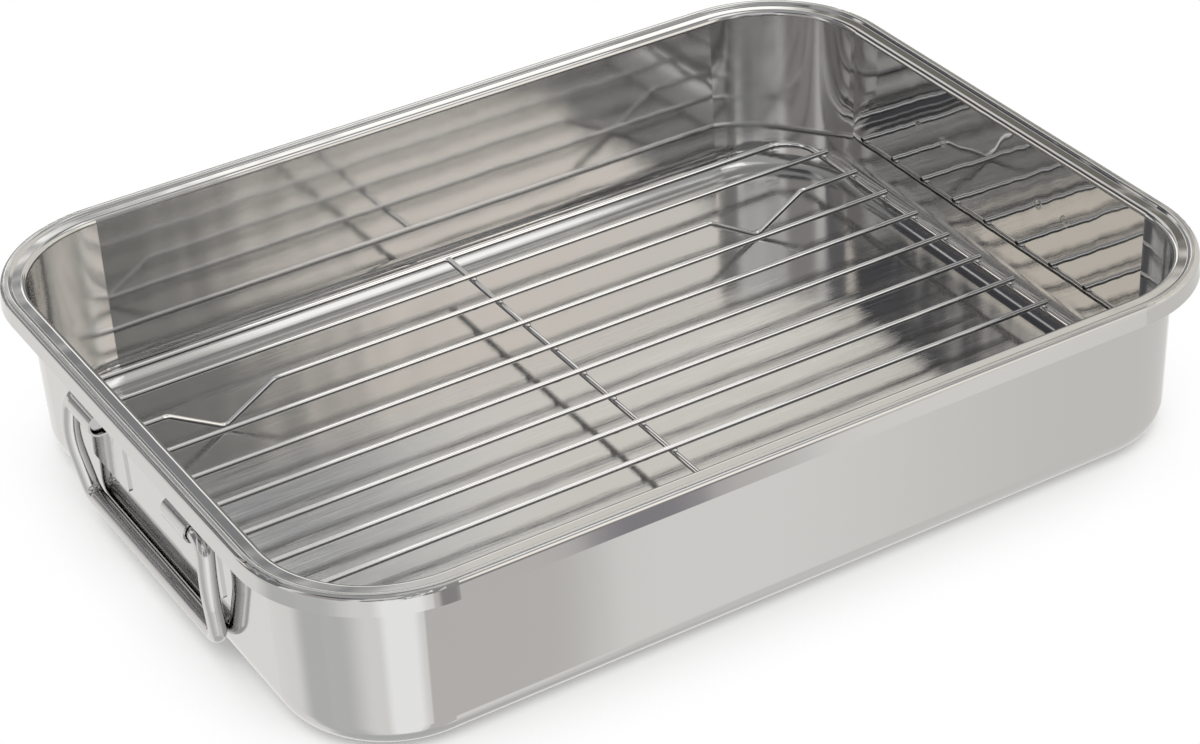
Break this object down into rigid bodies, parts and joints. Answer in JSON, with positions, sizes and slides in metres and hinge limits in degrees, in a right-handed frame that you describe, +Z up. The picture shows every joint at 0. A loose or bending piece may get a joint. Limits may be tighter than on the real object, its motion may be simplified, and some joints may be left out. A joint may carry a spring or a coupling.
{
  "type": "roasting pan with rack",
  "caption": "Deep rectangular stainless roasting pan with a rolled rim, swinging wire bail handles in welded brackets, and a lift-out wire rack on bent feet.",
  "frame": {"origin": "centre of the underside of the pan's floor, on the surface that it stands on", "axes": "+X along the long side towards the right handle, +Y from the front to the back, +Z up"},
  "size_m": [0.4016, 0.3036, 0.075],
  "materials": {
    "pan_steel": "satin outside, polished inside",
    "bracket_steel": "satin",
    "handle_wire": "bright",
    "rack_wire": "bright"
  },
  "bodies": {
    "pan": {"pan_body": "pan_steel", "handle_bracket_left_front": "bracket_steel", "handle_bracket_left_back": "bracket_steel", "handle_bracket_right_front": "bracket_steel", "handle_bracket_right_back": "bracket_steel"},
    "handle_left": {"handle_left": "handle_wire"},
    "handle_right": {"handle_right": "handle_wire"},
    "rack": {"rack_ring": "rack_wire", "rack_cross_bar": "rack_wire", "rack_bar_1": "rack_wire", "rack_bar_2": "rack_wire", "rack_bar_3": "rack_wire", "rack_bar_4": "rack_wire", "rack_bar_5": "rack_wire", "rack_bar_6": "rack_wire", "rack_bar_7": "rack_wire", "rack_bar_8": "rack_wire", "rack_foot_bar_front": "rack_wire", "rack_foot_bar_back": "rack_wire"}
  },
  "joints": [
    {"name": "handle_left_swing", "type": "hinge", "parent": "pan", "child": "handle_left", "pos_m": [-0.19513, 0, 0.05561], "axis": [0, 1, 0], "range_deg": [0, 130]},
    {"name": "handle_right_swing", "type": "hinge", "parent": "pan", "child": "handle_right", "pos_m": [0.19513, 0, 0.05561], "axis": [0, -1, 0], "range_deg": [0, 130]},
    {"name": "rack_lift", "type": "slide", "parent": "pan", "child": "rack", "axis": [0, 0, 1], "range_m": [0, 0.08]}
  ]
}
